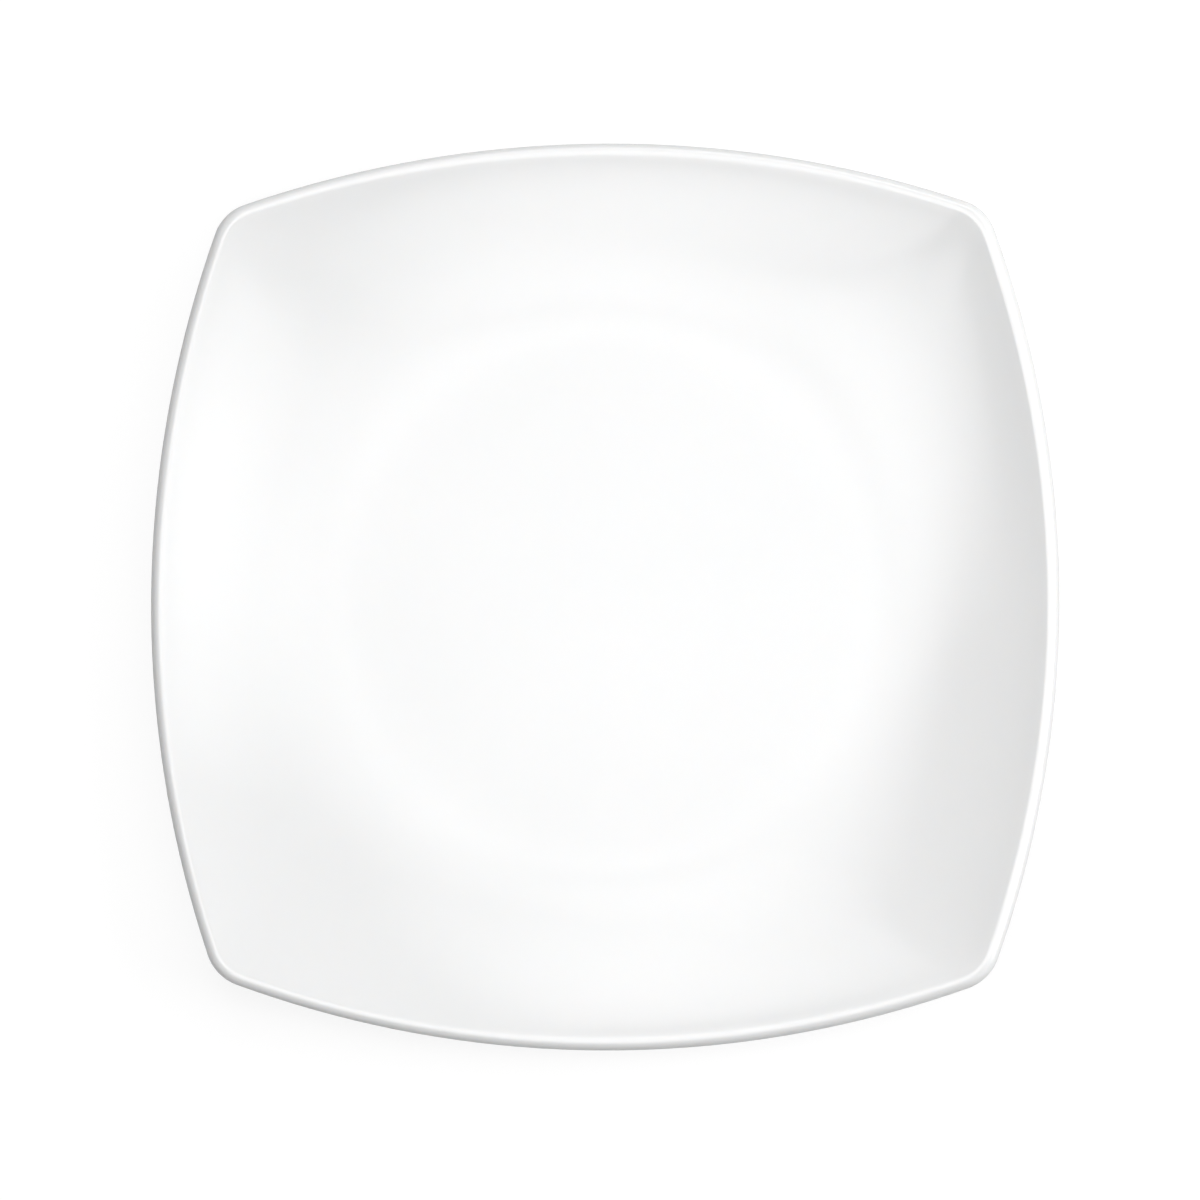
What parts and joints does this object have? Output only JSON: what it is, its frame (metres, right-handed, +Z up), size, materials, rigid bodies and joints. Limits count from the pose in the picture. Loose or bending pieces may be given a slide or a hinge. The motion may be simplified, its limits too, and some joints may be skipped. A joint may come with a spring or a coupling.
{
  "type": "square dinner plate",
  "caption": "Square dinner plate with bowed sides and soft, raised corners: a flat round well curves up to a rounded lip, on a low foot ring.",
  "frame": {"origin": "centre of the foot ring, on the surface that the plate stands on", "axes": "+Z up out of the well; +X and +Y square to two neighbouring sides, through their crowns; the picture looks down with +X to its right and +Y to its top"},
  "size_m": [0.26, 0.26, 0.0256],
  "materials": {
    "opal_glass": "opaque white opal glass, pressed, fire-polished to a high gloss"
  },
  "bodies": {
    "root": {"plate": "opal_glass"}
  },
  "joints": []
}
